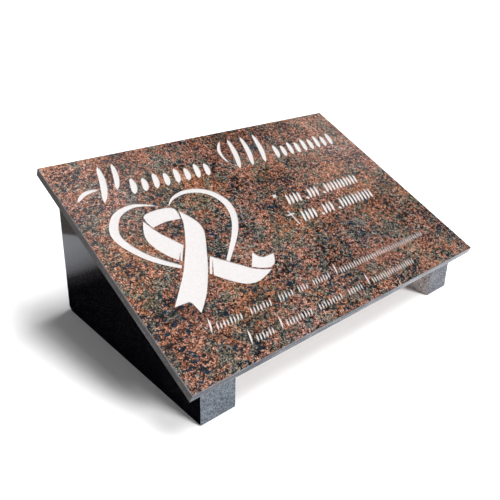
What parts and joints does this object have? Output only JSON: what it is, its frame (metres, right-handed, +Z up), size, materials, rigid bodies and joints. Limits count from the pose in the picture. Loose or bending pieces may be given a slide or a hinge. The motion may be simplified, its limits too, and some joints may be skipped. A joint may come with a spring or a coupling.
{
  "type": "granite headstone",
  "caption": "Slanted memorial slab of polished red granite, engraved on top, lying on wedge-shaped granite supports that stand on the ground.",
  "frame": {"origin": "on the ground, under the middle of the whole headstone", "axes": "+X along the slab's width to the reader's right, +Y towards the raised back edge, +Z up"},
  "size_m": [0.45, 0.275, 0.1838],
  "materials": {
    "red_granite": "polished top, sawn edges and underside, engraving painted white",
    "dark_granite": "polished outer sides, sawn grey front faces"
  },
  "bodies": {
    "root": {"granite_slab": "red_granite", "left_support": "dark_granite", "right_support": "dark_granite"}
  },
  "joints": []
}
